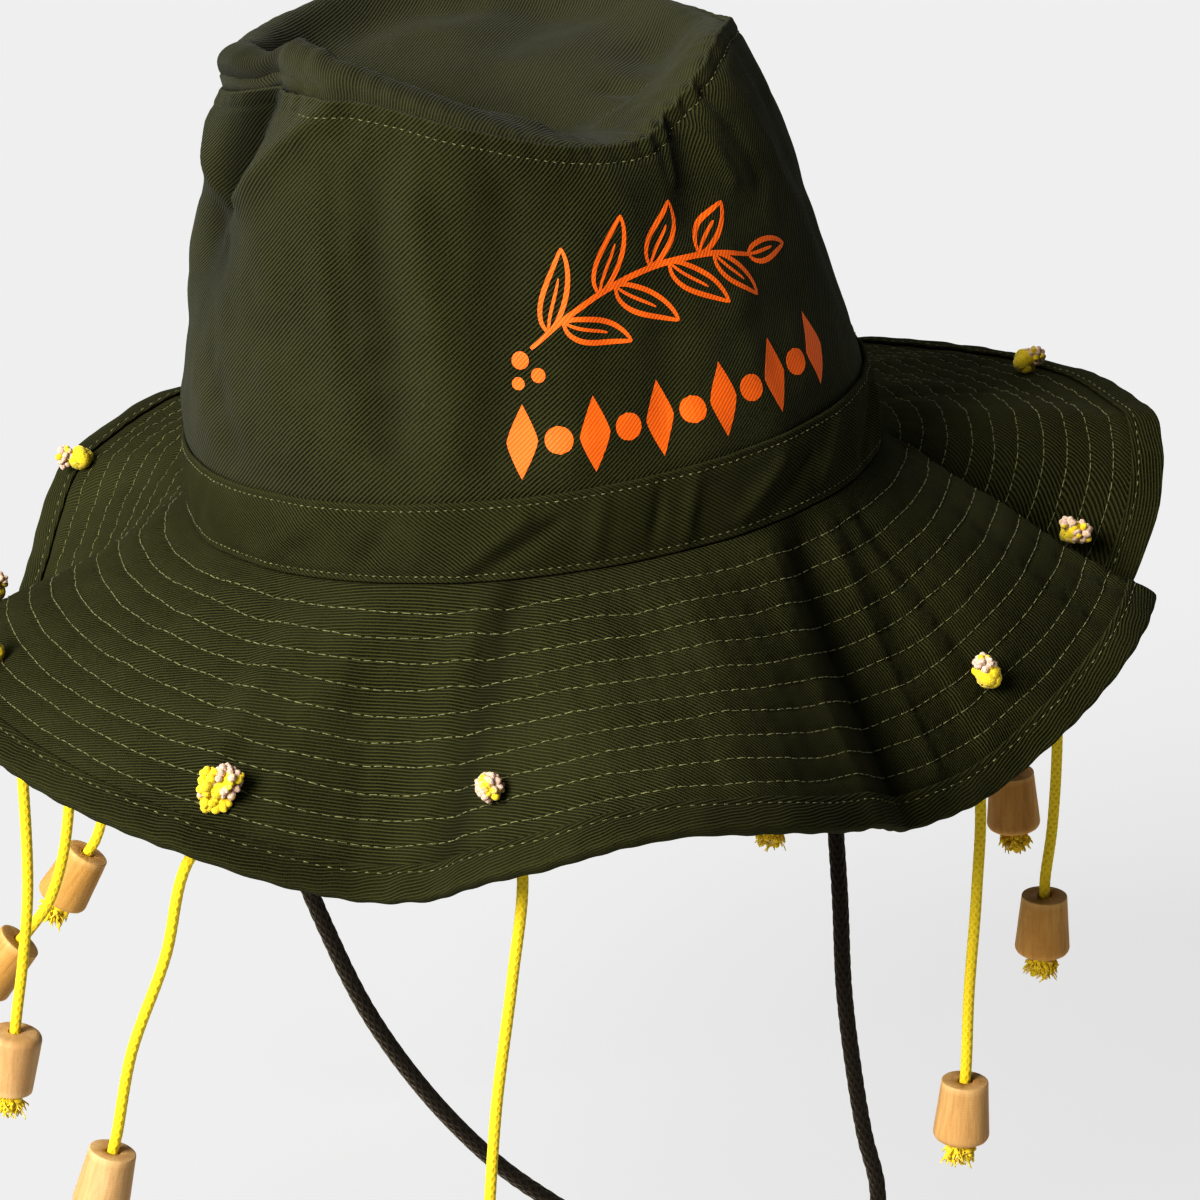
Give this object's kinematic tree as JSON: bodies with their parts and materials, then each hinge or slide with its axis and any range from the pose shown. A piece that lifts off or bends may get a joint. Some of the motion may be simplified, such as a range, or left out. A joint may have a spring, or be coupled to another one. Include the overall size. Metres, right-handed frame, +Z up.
{
  "type": "cork hat",
  "caption": "Cloth sun hat with a tall caved crown, a wide waved brim, turned corks hung from the brim on cords to keep flies off, and a chin cord.",
  "frame": {"origin": "middle of the head opening, in the plane of the seam between crown and brim", "axes": "+Z up against gravity with the hat tilted as worn, -Y towards the wearer's front, +X towards the wearer's left"},
  "size_m": [0.3216, 0.3294, 0.3741],
  "materials": {
    "crown_cloth": "matt dark olive cotton twill with a small orange print at the front",
    "band_cloth": "matt dark olive cotton twill, folded strip",
    "brim_cloth": "matt dark olive cotton twill, quilted with rows of pale green stitches",
    "binding_cloth": "matt dark olive cotton twill, folded over the brim's edge",
    "cork_wood": "smooth turned pale wood with fine grain",
    "yellow_cord": "soft bright yellow braided cord with frayed ends",
    "chin_cord_braid": "dark brown round braided cord"
  },
  "bodies": {
    "root": {"crown_side": "crown_cloth", "crown_tip": "crown_cloth", "hat_band": "band_cloth", "brim": "brim_cloth", "brim_binding": "binding_cloth", "chin_cord": "chin_cord_braid", "top_knot_01": "yellow_cord", "cork_cord_01": "yellow_cord", "tail_knot_01": "yellow_cord", "cork_01": "cork_wood", "top_knot_02": "yellow_cord", "cork_cord_02": "yellow_cord", "tail_knot_02": "yellow_cord", "cork_02": "cork_wood", "top_knot_03": "yellow_cord", "cork_cord_03": "yellow_cord", "tail_knot_03": "yellow_cord", "cork_03": "cork_wood", "top_knot_04": "yellow_cord", "cork_cord_04": "yellow_cord", "tail_knot_04": "yellow_cord", "cork_04": "cork_wood", "top_knot_05": "yellow_cord", "cork_cord_05": "yellow_cord", "tail_knot_05": "yellow_cord", "cork_05": "cork_wood", "top_knot_06": "yellow_cord", "cork_cord_06": "yellow_cord", "tail_knot_06": "yellow_cord", "cork_06": "cork_wood", "top_knot_07": "yellow_cord", "cork_cord_07": "yellow_cord", "tail_knot_07": "yellow_cord", "cork_07": "cork_wood", "top_knot_08": "yellow_cord", "cork_cord_08": "yellow_cord", "tail_knot_08": "yellow_cord", "cork_08": "cork_wood", "top_knot_09": "yellow_cord", "cork_cord_09": "yellow_cord", "tail_knot_09": "yellow_cord", "cork_09": "cork_wood", "top_knot_10": "yellow_cord", "cork_cord_10": "yellow_cord", "tail_knot_10": "yellow_cord", "cork_10": "cork_wood"}
  },
  "joints": []
}
